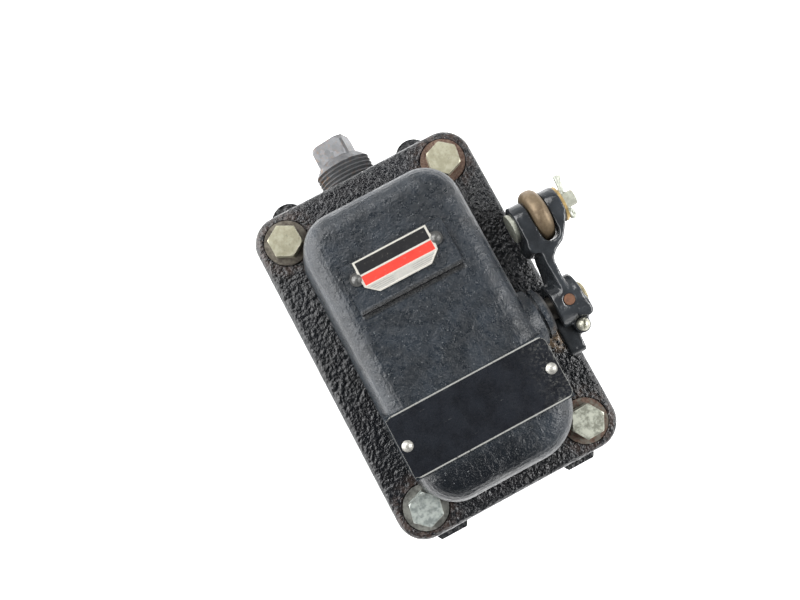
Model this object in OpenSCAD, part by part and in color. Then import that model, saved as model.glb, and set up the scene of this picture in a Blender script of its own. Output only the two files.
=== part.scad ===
// Heavy-duty limit switch with a roller lever, lying on its back.
// Frame: origin at the centre of the back face, +Z out of the cover,
// +Y toward the conduit plug, +X toward the operating shaft and lever.

/* [Enclosure] */
// Width of the base and of the cover flange
box_w = 101.6; // [96:0.1:125]
// Length of the base and of the cover flange
box_l = 150; // [144:0.5:190]
// Corner radius of the base and flange
box_r = 12; // [8:0.5:14]
// Depth of the base housing, from its back to the joint face
base_h = 44; // [40:0.5:60]
// Thickness of the base floor
floor_t = 8; // [5:0.5:9]
// Thickness of the long side walls of the base
side_wall = 9; // [6:0.5:11]
// Thickness of the end walls of the base, which take the conduit thread
end_wall = 17; // [12:0.5:20]
// Thickness of the cover flange
flange_t = 8; // [6:0.5:12]
// Rounding of the outer edges of the flange
edge_r = 3; // [1:0.5:4]

/* [Dome] */
// Width of the cover dome where it meets the flange
dome_w = 73; // [68:0.5:74]
// Length of the cover dome where it meets the flange
dome_l = 128.6; // [120:0.5:132]
// Height of the dome above the flange
dome_h = 36; // [34:0.5:48]
// Corner radius of the dome at the flange
dome_r = 18; // [15:0.5:22]
// Corner radius of the dome beside the lever's clamp
dome_r_clamp = 24; // [18:0.5:28]
// How far each side leans in between the flange and the shoulder
dome_lean = 3.5; // [1:0.5:4]
// Radius of the shoulder round the top of the dome
shoulder_r = 9; // [5:0.5:10]
// Wall thickness of the dome
dome_wall = 5.5; // [4:0.5:7]
// Distance of the dome's centre from the centre of the flange, along Y
dome_y = -2; // [-3:0.5:0]

/* [Plates] */
// Length of the raised pad under the nameplate
pad_w = 43; // [41:0.5:46]
// Height of the raised pad under the nameplate
pad_l = 19.5; // [16:0.5:24]
// How far the nameplate pad stands above the dome
pad_t = 1.6; // [1:0.1:2.5]
// Distance between the nameplate rivets
name_rivet_gap = 33.4; // [30:0.1:36]
// Length of the lower plate
lower_plate_w = 66.8; // [60:0.1:67]
// Height of the lower plate
lower_plate_l = 25; // [20:0.5:27]
// Distance between the lower plate's rivets
lower_rivet_gap = 60.5; // [50:0.1:61]
// Thickness of both plates
plate_t = 0.8; // [0.6:0.1:1.2]

/* [Cover bolts] */
// Distance between the cover bolts along X
bolt_gap_x = 74.6; // [74:0.1:76]
// Distance between the cover bolts along Y
bolt_gap_y = 123.8; // [122:0.1:125]
// Thread diameter of the cover bolts, 5/16 inch
bolt_d = 7.94; // [6:0.01:8]
// Size of the bolt heads across flats
bolt_af = 12.7; // [10:0.1:13]
// Height of the bolt heads
bolt_head_h = 5.6; // [4:0.1:7]
// Outside diameter of the washers
washer_d = 19; // [15:0.5:19]
// Thickness of the washers
washer_t = 2; // [1:0.1:2.5]
// Depth of the round seat that each washer lies in
seat_depth = 1; // [0.5:0.1:1.5]

/* [Mounting lugs] */
// Distance between the mounting holes along X
mount_gap_x = 66.6; // [60:0.1:72]
// Distance between the mounting holes along Y
mount_gap_y = 158.8; // [158:0.1:161]
// Diameter of the mounting holes, for 1/4 inch bolts
mount_hole_d = 7.1; // [5:0.1:8]
// Width of each lug
lug_w = 17; // [15:0.5:18]
// Thickness of each lug
lug_t = 10; // [6:0.5:14]
// Distance from the lower holes to the flat ends of their lugs
lug_flat = 5.6; // [5.2:0.1:8]

/* [Conduit entry] */
// Outside diameter of the 3/4 inch pipe thread
pipe_d = 26.67; // [20:0.01:27]
// Pitch of the pipe thread
pipe_pitch = 1.81; // [1.5:0.01:2]
// Height of the entry's axis above the back face
pipe_z = 22; // [20:0.5:24]
// Size of the plug's square head across flats
plug_square = 15.9; // [12:0.1:16]
// How far the plug stands out of the base
plug_out = 25.9; // [18:0.1:28]

/* [Shaft and lever] */
// Height of the shaft's axis above the flange
shaft_rise = 19; // [18:0.5:21]
// Position of the shaft's axis along Y
shaft_y = -14.4; // [-18:0.1:-12]
// Diameter of the operating shaft
shaft_d = 9.52; // [8:0.01:10]
// Distance between the shaft and the roller pin
lever_r = 35.1; // [33:0.1:44]
// Diameter of the lever's hub
hub_d = 19; // [17:0.5:19]
// Radius of the fork's ears
ear_r = 8.2; // [7:0.1:8.5]
// Width of the gap between the ears
fork_gap = 7.4; // [7:0.1:9]
// Diameter of the roller
roller_d = 22.2; // [19:0.1:22.4]
// Diameter of the roller pin
pin_d = 6.35; // [5:0.01:7]
// Diameter of the clamp screw
clamp_d = 4.1; // [3:0.1:4.2]
// Angle through which the lever turns, in degrees
lever_travel = 45; // [20:1:50]

/* [Contacts] */
// Travel of the contact plunger over the whole turn of the lever
plunger_travel = 3; // [2:0.1:3.2]
// Width of the contact block between its terminal ledges
block_w = 48; // [44:0.5:50]
// Depth of the contact block along Y
block_l = 30; // [28:0.5:34]
// Diameter of the plunger where the spring pushes on it
plunger_d = 8; // [7:0.1:9]
// Wire diameter of the plunger's spring
spring_wire = 0.9; // [0.6:0.05:1.1]

/* [Fits] */
// Radial clearance of turning and sliding fits
run_fit = 0.05; // [0.02:0.01:0.09]
// Radial clearance of parts that are pressed, screwed or clamped together
set_fit = 0.02; // [0:0.01:0.04]
// Radial clearance of bolts in plain holes
bolt_fit = 0.4; // [0.2:0.1:0.6]

/* [Hidden] */
$fn = 72;

iron = [0.13, 0.135, 0.14];
zinc = [0.80, 0.79, 0.72];
steel = [0.62, 0.63, 0.64];
brass = [0.72, 0.58, 0.30];
copper = [0.72, 0.43, 0.28];
bronze = [0.60, 0.46, 0.34];
phenolic = [0.28, 0.13, 0.07];

flange_z = base_h + flange_t;
dome_top = flange_z + dome_h;
shaft_z = flange_z + shaft_rise;

// Cover bolts, with the turn of each head, in degrees
BOLTS = [
    [-bolt_gap_x / 2,  bolt_gap_y / 2, 32], [bolt_gap_x / 2,  bolt_gap_y / 2, 20],
    [-bolt_gap_x / 2, -bolt_gap_y / 2, 18], [bolt_gap_x / 2, -bolt_gap_y / 2, 2]
];
seat_z = flange_z - seat_depth;
seat_d = washer_d + 1.2;
bolt_depth = 20;
bolt_boss_r = bolt_d / 2 + 5.5;

// Nameplate and lower plate
pad_x = -1.6;
pad_y = 26.4;
pad_top = dome_top + pad_t;
name_y = 29.5;
name_x = -2;
name_w = 31;
name_l = 14.2;
name_shift = -0.8;
name_cut_x = 4.6;
name_cut_y = 3.9;
lower_x = -0.7;
lower_y = -33.6;
lower_pad_over = 0.5;
rivet_d = 2.4;
name_rivet_head = 3.9;
lower_rivet_head = 4.4;
rivet_depth = 3;

// Boss on the side of the dome, from the dome outward
boss_x0 = 22;
neck_end = 36.5;
groove_end = 38;
boss_end = 40.1;
boss_r0 = 15;
boss_r1 = 11.6;
groove_r = 9.4;
collar_r = 10.4;
bushing_r = 7.2;
bushing_in = 17;
washer_gap = 0.06;
thrust_t = 1.1;

// Lever, all along X from the root of the hub to the end of the pin
hub_x0 = 44;
hub_x1 = 56;
arm_x0 = 49.3;
arm_x1 = 52.1;
ear_t = 6.4;
fork_x0 = 46.4;
fork_in0 = fork_x0 + ear_t;
fork_in1 = fork_in0 + fork_gap;
fork_x1 = fork_in1 + 6.1;
pin_y = shaft_y + lever_r;
roller_r = roller_d / 2;
side_gap = 0.25;
roller_round = 3;
shaft_end = 58.4;
shaft_start = -9;
head_t = 1.6;
cross_pin_r = 2.15;
cross_pin_x = 49.9;
slit = 1.6;
clamp_x = 51.4;
clamp_y = shaft_y - 11.2;
clamp_head_r = 2.7;
clamp_head_h = 2.5;
clamp_ear_r = 3.4;
clamp_seat = 2.6;
tail_x0 = 42.4;
tail_x1 = 49.3;
tail_y = shaft_y - 20;
tail_t = 6.2;
roller_washer_t = 1.1;
cotter_x = fork_x1 + 3;
cotter_wire = 1.3;
pin_end = fork_x1 + 7;

// Cam: its radius grows with the angle, so that the plunger goes down evenly
cam_r0 = 9;
cam_hub_r = 7.5;
cam_x0 = -5;
cam_x1 = 5;
cam_rate = plunger_travel / lever_travel;
cam_gap = 0.6;
collar_x0 = bushing_in - 7.5;
collar_r1 = 8;

// Contact block
block_z = floor_t + 4;
foot_t = 5;
foot_y = 19;
foot_w = 16;
block_top = 48;
cap_t = 2.4;
window_x = 21;
window_z0 = 26;
window_z1 = 38;
ledge_x = 10;
strap_t = 1.4;
strap_half = 4;
nose_r = 2.5;
nose_top = shaft_z - cam_r0 - cam_gap;
stem_r = 2.4;
bridge_t = 1.2;
tip_h = 0.9;
tip_r = 1.8;
tip_gap = 0.1;
bridge_z = window_z1 - strap_t - 2 * tip_h - bridge_t - tip_gap;
make_tip_h = bridge_z - tip_h - plunger_travel - tip_gap - window_z0 - strap_t;
spring_z0 = 16;
spring_z1 = bridge_z - 4.2;
spring_turns = 5;
spring_r = plunger_d / 2 - spring_wire / 2 - 0.2;
terminal_dx = block_w / 2 + 5.2;
terminal_dy = 8;
screw_r = 1.9;
screw_head_r = 3.6;
screw_head_h = 2.4;

// Helpers

// Rectangle with round corners, centred
module round_rect(w, l, r) {
    square([w - 2 * r, l], center = true);
    square([w, l - 2 * r], center = true);
    for (x = [-1, 1], y = [-1, 1])
        translate([x * (w / 2 - r), y * (l / 2 - r)]) circle(r);
}

// Upright section of a plate of width w whose top corners are rounded by e
module soft_section(w, t, e) {
    translate([-w / 2, 0]) square([w, t - e]);
    translate([-w / 2 + e, 0]) square([w - 2 * e, t]);
    for (x = [-1, 1]) translate([x * (w / 2 - e), t - e]) circle(e);
}

// Plate with round corners whose top edge is rounded by e
module soft_plate(w, l, r, t, e) {
    rotate([90, 0, 0]) linear_extrude(l - 2 * r, center = true) soft_section(w, t, e);
    rotate([90, 0, 90]) linear_extrude(w - 2 * r, center = true) soft_section(l, t, e);
    for (x = [-1, 1], y = [-1, 1])
        translate([x * (w / 2 - r), y * (l / 2 - r), 0]) rotate_extrude()
            intersection() {
                soft_section(2 * r, t, e);
                square([r, t]);
            }
}

// Cylinder along +X that starts at x
module rod_x(x, len, r) {
    translate([x, 0, 0]) rotate([0, 90, 0]) cylinder(h = len, r = r);
}

module at_shaft() {
    translate([0, shaft_y, shaft_z]) children();
}

module at_pin() {
    translate([0, pin_y, shaft_z]) children();
}

// Domed rivet head with its shank, standing on z = 0
module rivet(head_d, shank) {
    rise = head_d * 0.28;
    ball = (head_d * head_d / 4 + rise * rise) / (2 * rise);
    intersection() {
        translate([0, 0, rise - ball]) sphere(ball);
        cylinder(h = rise, d = head_d);
    }
    translate([0, 0, -shank]) cylinder(h = shank, d = rivet_d);
}

// Slotted round-head screw, seat at z = 0, shank down
module slotted_screw(r, len, head_r, head_h) {
    ball = (head_r * head_r + head_h * head_h) / (2 * head_h);
    difference() {
        intersection() {
            translate([0, 0, head_h - ball]) sphere(ball);
            cylinder(h = head_h, r = head_r);
        }
        translate([-head_r, -0.45, head_h * 0.5]) cube([2 * head_r, 0.9, head_h]);
    }
    translate([0, 0, -len]) cylinder(h = len, r = r);
}

// Enclosure

// Lug whose round end is cut flat at a distance past its hole
module mounting_lug(flat) {
    difference() {
        linear_extrude(lug_t) {
            intersection() {
                circle(d = lug_w);
                translate([-lug_w / 2, -lug_w / 2]) square([lug_w, lug_w / 2 + flat]);
            }
            translate([-lug_w / 2, -16]) square([lug_w, 16]);
        }
        translate([0, 0, -1]) cylinder(h = lug_t + 2, d = mount_hole_d);
    }
}

module base_cavity() {
    inner_w = box_w - 2 * side_wall;
    inner_l = box_l - 2 * end_wall;
    difference() {
        translate([0, 0, floor_t]) linear_extrude(base_h) round_rect(inner_w, inner_l, 6);
        for (b = BOLTS)
            translate([b[0], b[1], 0]) cylinder(h = base_h, r = bolt_boss_r);
    }
}

module base_housing() {
    foot_boss = block_z - floor_t;
    color(iron) difference() {
        union() {
            difference() {
                union() {
                    linear_extrude(base_h) round_rect(box_w - 1.6, box_l - 1.6, box_r - 0.8);
                    for (x = [-1, 1], a = [0, 180])
                        rotate([0, 0, a]) translate([x * mount_gap_x / 2, mount_gap_y / 2, 0])
                            mounting_lug(a == 0 ? lug_w : lug_flat);
                }
                base_cavity();
            }
            for (y = [-1, 1])
                translate([0, shaft_y + y * foot_y, floor_t - 1])
                    cylinder(h = foot_boss + 1, r = 5);
            translate([30, 36, floor_t - 1]) cylinder(h = 5, r = 5);
        }
        for (b = BOLTS)
            translate([b[0], b[1], base_h - bolt_depth])
                cylinder(h = bolt_depth + 1, r = bolt_d / 2 + set_fit);
        for (y = [-1, 1])
            translate([0, shaft_y + y * foot_y, 3])
                cylinder(h = base_h, r = screw_r + set_fit);
        translate([30, 36, 3]) cylinder(h = 20, r = screw_r + set_fit);
        translate([0, box_l / 2 + 1, pipe_z]) rotate([90, 0, 0])
            cylinder(h = end_wall + 2, r = pipe_d / 2 + set_fit);
    }
}

// Solid form of the dome, drawn in by skin on every side
module dome_form(skin) {
    round_r = shoulder_r - skin;
    height = dome_h - skin;
    hull() {
        for (x = [-1, 1], y = [-1, 1]) {
            corner = x > 0 && y < 0 ? dome_r_clamp : dome_r;
            r = corner - skin;
            top_r = r - dome_lean;
            translate([x * (dome_w / 2 - corner), dome_y + y * (dome_l / 2 - corner), flange_z]) {
                cylinder(h = 0.1, r = r, $fn = 48);
                translate([0, 0, height - round_r]) rotate_extrude($fn = 48)
                    intersection() {
                        translate([top_r - round_r, 0]) circle(round_r, $fn = 32);
                        square([top_r, round_r]);
                    }
            }
        }
    }
}

// Flat raised pad with leaning sides, its top at z = top
module leaning_pad(w, l, top, deep, lean) {
    translate([0, 0, top - deep]) hull() {
        translate([-w / 2 - lean, -l / 2 - lean, 0]) cube([w + 2 * lean, l + 2 * lean, 0.1]);
        translate([-w / 2, -l / 2, deep - 0.1]) cube([w, l, 0.1]);
    }
}

module shaft_boss() {
    at_shaft() {
        translate([boss_x0, 0, 0]) rotate([0, 90, 0])
            cylinder(h = neck_end - boss_x0, r1 = boss_r0, r2 = boss_r1);
        rod_x(bushing_in, boss_end - bushing_in, groove_r);
        rod_x(groove_end, boss_end - groove_end, collar_r);
    }
}

module cover() {
    color(iron) difference() {
        union() {
            translate([0, 0, base_h]) soft_plate(box_w, box_l, box_r, flange_t, edge_r);
            difference() {
                union() {
                    dome_form(0);
                    translate([pad_x, pad_y, 0]) leaning_pad(pad_w, pad_l, pad_top, 4, 0.8);
                    translate([lower_x, lower_y, 0])
                        leaning_pad(lower_plate_w, lower_plate_l + 2 * lower_pad_over, dome_top, 30, 1.5);
                }
                dome_form(dome_wall);
            }
            shaft_boss();
        }
        translate([0, dome_y, base_h - 1]) linear_extrude(flange_t + 1.1)
            round_rect(dome_w - 2 * dome_wall, dome_l - 2 * dome_wall, dome_r_clamp - dome_wall);
        for (b = BOLTS) {
            translate([b[0], b[1], base_h - 1]) cylinder(h = flange_t, r = bolt_d / 2 + bolt_fit);
            translate([b[0], b[1], seat_z]) cylinder(h = washer_t + bolt_head_h + 2, d = seat_d);
        }
        at_shaft() rod_x(0, boss_end + 1, bushing_r + set_fit);
        for (s = [-1, 1]) {
            translate([name_x + s * name_rivet_gap / 2, name_y, pad_top - rivet_depth])
                cylinder(h = rivet_depth + 1, r = rivet_d / 2 + set_fit);
            translate([lower_x + s * lower_rivet_gap / 2, lower_y, dome_top - rivet_depth])
                cylinder(h = rivet_depth + 1, r = rivet_d / 2 + set_fit);
        }
    }
}

module cover_bolts() {
    color(zinc) for (b = BOLTS) translate([b[0], b[1], seat_z + washer_t]) {
        intersection() {
            rotate([0, 0, b[2]]) cylinder(h = bolt_head_h, d = bolt_af / cos(30), $fn = 6);
            translate([0, 0, bolt_head_h - 15.6]) sphere(17);
        }
        translate([0, 0, -washer_t - seat_z + base_h - bolt_depth + 2])
            cylinder(h = seat_z + washer_t - base_h + bolt_depth - 2, d = bolt_d);
    }
}

module cover_washers() {
    color(steel) for (b = BOLTS) translate([b[0], b[1], seat_z]) difference() {
        cylinder(h = washer_t, d = washer_d);
        translate([0, 0, -1]) cylinder(h = washer_t + 2, r = bolt_d / 2 + 0.25);
    }
}

// Pipe plug: threaded body, chamfered shoulder and square head
module conduit_plug() {
    square_len = 10;
    chamfer = 2.2;
    thread_out = plug_out - square_len - 1.6;
    turns = floor(thread_out / pipe_pitch);
    root = pipe_d / 2 - 1;
    color(steel) translate([0, box_l / 2 - 0.8, pipe_z]) rotate([-90, 0, 0]) {
        translate([0, 0, 1.2 - end_wall]) cylinder(h = end_wall - 1.2, d = pipe_d);
        rotate_extrude() polygon(concat(
            [[0, 0], [pipe_d / 2, 0]],
            [for (i = [0:turns - 1], k = [0:1])
                [k == 0 ? root : pipe_d / 2 - 0.1, (i + 0.5 + 0.5 * k) * pipe_pitch]],
            [[root, thread_out - 0.4], [root - 2.4, thread_out + 2.2], [0, thread_out + 2.2]]));
        rotate([0, 0, -16]) intersection() {
            translate([-plug_square / 2, -plug_square / 2, 0])
                cube([plug_square, plug_square, plug_out]);
            union() {
                cylinder(h = plug_out - chamfer, r = plug_square * 0.66);
                translate([0, 0, plug_out - chamfer])
                    cylinder(h = chamfer, r1 = plug_square * 0.66, r2 = plug_square * 0.58);
            }
        }
    }
}

// Plates

module nameplate() {
    color([0.75, 0.1, 0.1]) translate([name_x, name_y, pad_top]) difference() {
        linear_extrude(plate_t) {
            translate([0, name_shift]) polygon([
                [-name_w / 2, name_cut_y - name_l / 2],
                [name_cut_x - name_w / 2, -name_l / 2],
                [name_w / 2 - name_cut_x, -name_l / 2],
                [name_w / 2, name_cut_y - name_l / 2],
                [name_w / 2, name_l / 2],
                [-name_w / 2, name_l / 2]
            ]);
            square([name_rivet_gap, 2 * name_rivet_head * 0.68], center = true);
            for (s = [-1, 1])
                translate([s * name_rivet_gap / 2, 0]) circle(name_rivet_head * 0.68);
        }
        for (s = [-1, 1])
            translate([s * name_rivet_gap / 2, 0, -1]) cylinder(h = plate_t + 2, d = rivet_d + 0.1);
    }
}

module nameplate_rivets() {
    color(steel) for (s = [-1, 1])
        translate([name_x + s * name_rivet_gap / 2, name_y, pad_top + plate_t])
            rivet(name_rivet_head, rivet_depth + plate_t - 0.3);
}

module lower_plate() {
    color([0.09, 0.1, 0.11]) translate([lower_x, lower_y, dome_top]) difference() {
        linear_extrude(plate_t) {
            round_rect(lower_plate_w, lower_plate_l, 3);
            translate([-lower_plate_w / 2, -lower_plate_l / 2 + 0.8])
                square([6, lower_plate_l - 1.6]);
        }
        for (s = [-1, 1])
            translate([s * lower_rivet_gap / 2, 0, -1]) cylinder(h = plate_t + 2, d = rivet_d + 0.1);
    }
}

module lower_plate_rivets() {
    color(zinc) for (s = [-1, 1])
        translate([lower_x + s * lower_rivet_gap / 2, lower_y, dome_top + plate_t])
            rivet(lower_rivet_head, rivet_depth + plate_t - 0.3);
}

// Shaft

module operating_shaft() {
    color(steel) at_shaft() difference() {
        union() {
            rod_x(shaft_start, shaft_end - shaft_start - 0.8, shaft_d / 2);
            translate([shaft_end - 0.8, 0, 0]) rotate([0, 90, 0])
                cylinder(h = 0.8, r1 = shaft_d / 2, r2 = shaft_d / 2 - 0.8);
        }
        translate([cross_pin_x, 0, -shaft_d]) cylinder(h = 2 * shaft_d, r = cross_pin_r + set_fit);
        translate([0, 0, -shaft_d]) cylinder(h = 2 * shaft_d, r = 1.5 + set_fit);
    }
}

module shaft_bushing() {
    color(brass) at_shaft() difference() {
        rod_x(bushing_in, boss_end - bushing_in, bushing_r);
        rod_x(bushing_in - 1, boss_end - bushing_in + 2, shaft_d / 2 + run_fit);
    }
}

module thrust_washer() {
    color(zinc) at_shaft() difference() {
        rod_x(boss_end + washer_gap, thrust_t, 8.8);
        rod_x(boss_end - 1, thrust_t + 3, shaft_d / 2 + 0.09);
    }
}

module shaft_collar() {
    color(steel) at_shaft() difference() {
        rod_x(collar_x0, bushing_in - collar_x0 - 0.4, collar_r1);
        rod_x(collar_x0 - 1, 10, shaft_d / 2 + set_fit);
        translate([collar_x0 + 3.5, 0, 0]) cylinder(h = 12, r = screw_r + set_fit);
    }
}

module collar_screw() {
    reach = collar_r1 - 1.6;
    color(steel) at_shaft() translate([collar_x0 + 3.5, 0, shaft_d / 2 + 0.02]) difference() {
        cylinder(h = reach - shaft_d / 2, r = screw_r);
        translate([-0.4, -screw_r, reach - shaft_d / 2 - 0.9])
            cube([0.8, 2 * screw_r, 2]);
    }
}

// Cam outline: a circle, and a rise on the side that comes down on the plunger
function cam_radius(a) =
    a < 0 ? max(cam_hub_r, cam_r0 + a * 0.06)
    : a <= lever_travel ? cam_r0 + cam_rate * a
    : max(cam_hub_r, cam_r0 + plunger_travel - (a - lever_travel - 8) * 0.1);

module shaft_cam() {
    color(steel) at_shaft() difference() {
        translate([cam_x0, 0, 0]) rotate([90, 0, 90]) linear_extrude(cam_x1 - cam_x0)
            polygon([for (a = [-60:3:297])
                let (r = min(cam_radius(a), cam_r0 + plunger_travel + 0.1))
                [r * cos(-90 - a), r * sin(-90 - a)]]);
        rod_x(cam_x0 - 1, cam_x1 - cam_x0 + 2, shaft_d / 2 + set_fit);
        cylinder(h = 20, r = 1.5 + set_fit);
    }
}

module cam_pin() {
    color(steel) at_shaft() translate([0, 0, -shaft_d / 2 + 0.3])
        cylinder(h = shaft_d / 2 - 0.3 + cam_hub_r - 0.4, r = 1.5);
}

// Lever

// Side view of the lever: tapering arm and round fork end
module lever_side() {
    start = hub_d / 2 - 0.2;
    polygon([[shaft_y, start], [shaft_y, -start], [pin_y, -ear_r + 0.1], [pin_y, ear_r - 0.1]]);
    translate([pin_y, 0]) circle(ear_r);
}

// Plan of the fork: two ears joined by a yoke under the roller
module fork_plan() {
    y0 = pin_y - roller_r - 0.6;
    reach = ear_r + 1;
    lobe_r = 3.4;
    difference() {
        union() {
            polygon([
                [arm_x0, y0 - 8], [arm_x1 + 0.3, y0 - 8], [arm_x1 + 1, y0 - 6],
                [fork_in0 + 2.6, y0 - 4], [fork_in1 - 0.8, y0 - 2], [fork_x1 - 4.6, y0 + 0.8],
                [fork_x1 - 1.8, y0 + 5], [fork_x1, y0 + 8.4], [fork_x1, pin_y + reach],
                [fork_x0, pin_y + reach], [fork_x0, y0 + 4], [fork_x0 - 0.8, y0 + 1],
                [arm_x0, y0 - 1.6]
            ]);
            translate([fork_x0 + lobe_r - 0.8, y0 + 1.1]) circle(lobe_r);
        }
        polygon([
            [fork_in0, pin_y + reach + 1], [fork_in0, y0 + 3], [fork_in0 + 0.8, y0 + 1],
            [fork_in0 + 2.2, y0], [fork_in1 - 2.2, y0], [fork_in1 - 0.8, y0 + 1],
            [fork_in1, y0 + 3], [fork_in1, pin_y + reach + 1]
        ]);
    }
}

// Web between hub and fork: its left side leans out toward the bottom
module lever_web() {
    y1 = pin_y - roller_r - 4;
    lean_hub = 3.2;
    lean_fork = 0.6;
    hull() {
        translate([0, 0, shaft_z + hub_d / 2]) linear_extrude(0.1)
            polygon([[arm_x0, shaft_y], [arm_x1 - 0.6, shaft_y], [arm_x1 + 0.7, y1], [arm_x0, y1]]);
        translate([0, 0, shaft_z - hub_d / 2]) linear_extrude(0.1)
            polygon([[arm_x0 - lean_hub, shaft_y], [arm_x1 - 0.6, shaft_y],
                     [arm_x1 + 0.7, y1], [arm_x0 - lean_fork, y1]]);
    }
}

module lever_arm() {
    lobe_r = 2.4;
    lobe_x = hub_x1 - lobe_r + 1;
    color(iron) difference() {
        union() {
            intersection() {
                union() {
                    translate([0, 0, shaft_z - 12]) linear_extrude(24) fork_plan();
                    lever_web();
                }
                translate([40, 0, shaft_z]) rotate([90, 0, 90]) linear_extrude(40) lever_side();
            }
            at_shaft() rod_x(hub_x0, hub_x1 - hub_x0, hub_d / 2);
            translate([clamp_x - 0.6, clamp_y + 2.2, shaft_z + slit / 2])
                cube([lobe_x - clamp_x + 0.6, shaft_y - clamp_y - 2.2, hub_d / 2 - 2.2]);
            translate([clamp_x, clamp_y + 2.2 + lobe_r, shaft_z + slit / 2])
                cube([lobe_x + lobe_r - clamp_x, 5, hub_d / 2 - 2.2]);
            translate([lobe_x, clamp_y + 2.2 + lobe_r, shaft_z + slit / 2])
                cylinder(h = hub_d / 2 - 2.2, r = lobe_r);
            translate([clamp_x, clamp_y, shaft_z - tail_t - slit / 2])
                cylinder(h = tail_t + slit / 2 + clamp_seat, r = clamp_ear_r);
            translate([clamp_x - clamp_ear_r, clamp_y, shaft_z - tail_t - slit / 2])
                cube([2 * clamp_ear_r, shaft_y - clamp_y, tail_t + slit / 2 + clamp_seat]);
            translate([tail_x0, tail_y + 2, shaft_z - tail_t - slit / 2])
                cube([tail_x1 - tail_x0, shaft_y - tail_y - 2, tail_t]);
            translate([(tail_x0 + tail_x1) / 2, tail_y + 2, shaft_z - tail_t / 2 - slit / 2])
                rotate([0, 90, 0])
                    cylinder(h = tail_x1 - tail_x0, r = tail_t / 2, center = true);
        }
        at_shaft() rod_x(hub_x0 - 5, 20, shaft_d / 2 + set_fit);
        translate([tail_x0 - 1, tail_y - 4, shaft_z - slit / 2])
            cube([20, shaft_y - tail_y + 4, slit]);
        translate([clamp_x, clamp_y, shaft_z + clamp_seat])
            cylinder(h = 20, r = clamp_head_r + 0.6);
        translate([clamp_x, clamp_y, shaft_z - 20]) cylinder(h = 40, r = clamp_d / 2 + set_fit);
        at_shaft() translate([cross_pin_x, 0, -20]) cylinder(h = 40, r = cross_pin_r + set_fit);
        at_pin() rod_x(40, 40, pin_d / 2 + set_fit);
    }
}

module lever_cross_pin() {
    color(copper) at_shaft() translate([cross_pin_x, 0, -hub_d / 2 + 0.2])
        cylinder(h = hub_d - 0.3, r = cross_pin_r);
}

module clamp_screw() {
    color(zinc) translate([clamp_x, clamp_y, shaft_z + clamp_seat]) rotate([0, 0, 62])
        slotted_screw(clamp_d / 2, clamp_seat + slit / 2 + tail_t - 0.5, clamp_head_r, clamp_head_h);
}

// Crowned roller
module roller() {
    x0 = fork_in0 + side_gap;
    w = fork_gap - 2 * side_gap;
    color(bronze) at_pin() translate([x0, 0, 0]) rotate([0, 90, 0]) rotate_extrude()
        difference() {
            union() {
                translate([0, roller_round]) square([roller_r, w - 2 * roller_round]);
                square([roller_r - roller_round, w]);
                for (h = [roller_round, w - roller_round])
                    translate([roller_r - roller_round, h]) circle(roller_round);
            }
            translate([-1, -1]) square([1 + pin_d / 2 + run_fit, w + 2]);
        }
}

module roller_pin() {
    color(zinc) at_pin() difference() {
        union() {
            rod_x(fork_x0 - head_t, head_t - 0.4, 6);
            rod_x(fork_x0 - 0.4, 0.4, 5.7);
            rod_x(fork_x0, pin_end - fork_x0, pin_d / 2);
        }
        translate([cotter_x, 0, 0]) rotate([90, 0, 0])
            cylinder(h = 20, r = cotter_wire + 0.1, center = true);
    }
}

module roller_washer() {
    color(brass) at_pin() difference() {
        rod_x(fork_x1 + 0.02, roller_washer_t, 7.4);
        rod_x(fork_x1 - 1, 4, pin_d / 2 + set_fit);
    }
}

// Split pin through the roller pin: an eye, a shank and two spread legs
module cotter_pin() {
    eye_r = 1.6;
    eye_wire = 0.95;
    leg_r = 1;
    shank = pin_d / 2 + 0.6;
    leg = 7.6;
    color(zinc) at_pin() translate([cotter_x, 0, 0]) {
        translate([0.3, -shank - eye_r - eye_wire + 0.9, 0]) rotate([0, 52, 0])
            rotate_extrude() translate([eye_r, 0]) circle(eye_wire, $fn = 32);
        translate([0, shank, 0]) rotate([90, 0, 0]) cylinder(h = 2 * shank, r = cotter_wire);
        for (a = [-4, -24])
            translate([1.2 + a * 0.05, shank - 0.5, 0]) rotate([-90, 0, a])
                cylinder(h = leg, r = leg_r);
    }
}

// Contacts

module contact_block() {
    color(phenolic) translate([0, shaft_y, 0]) difference() {
        union() {
            translate([-block_w / 2, -block_l / 2, block_z])
                cube([block_w, block_l, block_top - block_z]);
            translate([-foot_w / 2, -foot_y - 5, block_z]) cube([foot_w, 2 * foot_y + 10, foot_t]);
            for (s = [-1, 1]) {
                translate([s > 0 ? block_w / 2 : -block_w / 2 - ledge_x, -block_l / 2, block_z])
                    cube([ledge_x, block_l / 2 - 0.5, window_z1 - strap_t - block_z]);
                translate([s > 0 ? block_w / 2 : -block_w / 2 - ledge_x, 0.5, block_z])
                    cube([ledge_x, block_l / 2 - 0.5, window_z0 - block_z]);
            }
        }
        translate([-window_x, -block_l, window_z0])
            cube([2 * window_x, 2 * block_l, window_z1 - window_z0]);
        translate([0, 0, spring_z0 - 0.1]) cylinder(h = block_top, r = plunger_d / 2 + run_fit);
        for (z = [window_z0, window_z1 - strap_t])
            translate([-block_w / 2 - 1, -strap_half - 0.05, z - 0.02])
                cube([block_w + 2, 2 * strap_half + 0.1, strap_t + 0.04]);
        for (y = [-1, 1])
            translate([0, y * foot_y, 0]) cylinder(h = 40, r = screw_r + 0.2);
        for (x = [-1, 1]) {
            translate([x * 18, 0, block_top - 8]) cylinder(h = 10, r = screw_r + set_fit);
            translate([x * terminal_dx, -terminal_dy, window_z1 - 14])
                cylinder(h = 20, r = screw_r + set_fit);
            translate([x * terminal_dx, terminal_dy, window_z0 - 12])
                cylinder(h = 12.1, r = screw_r + set_fit);
        }
    }
}

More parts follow.
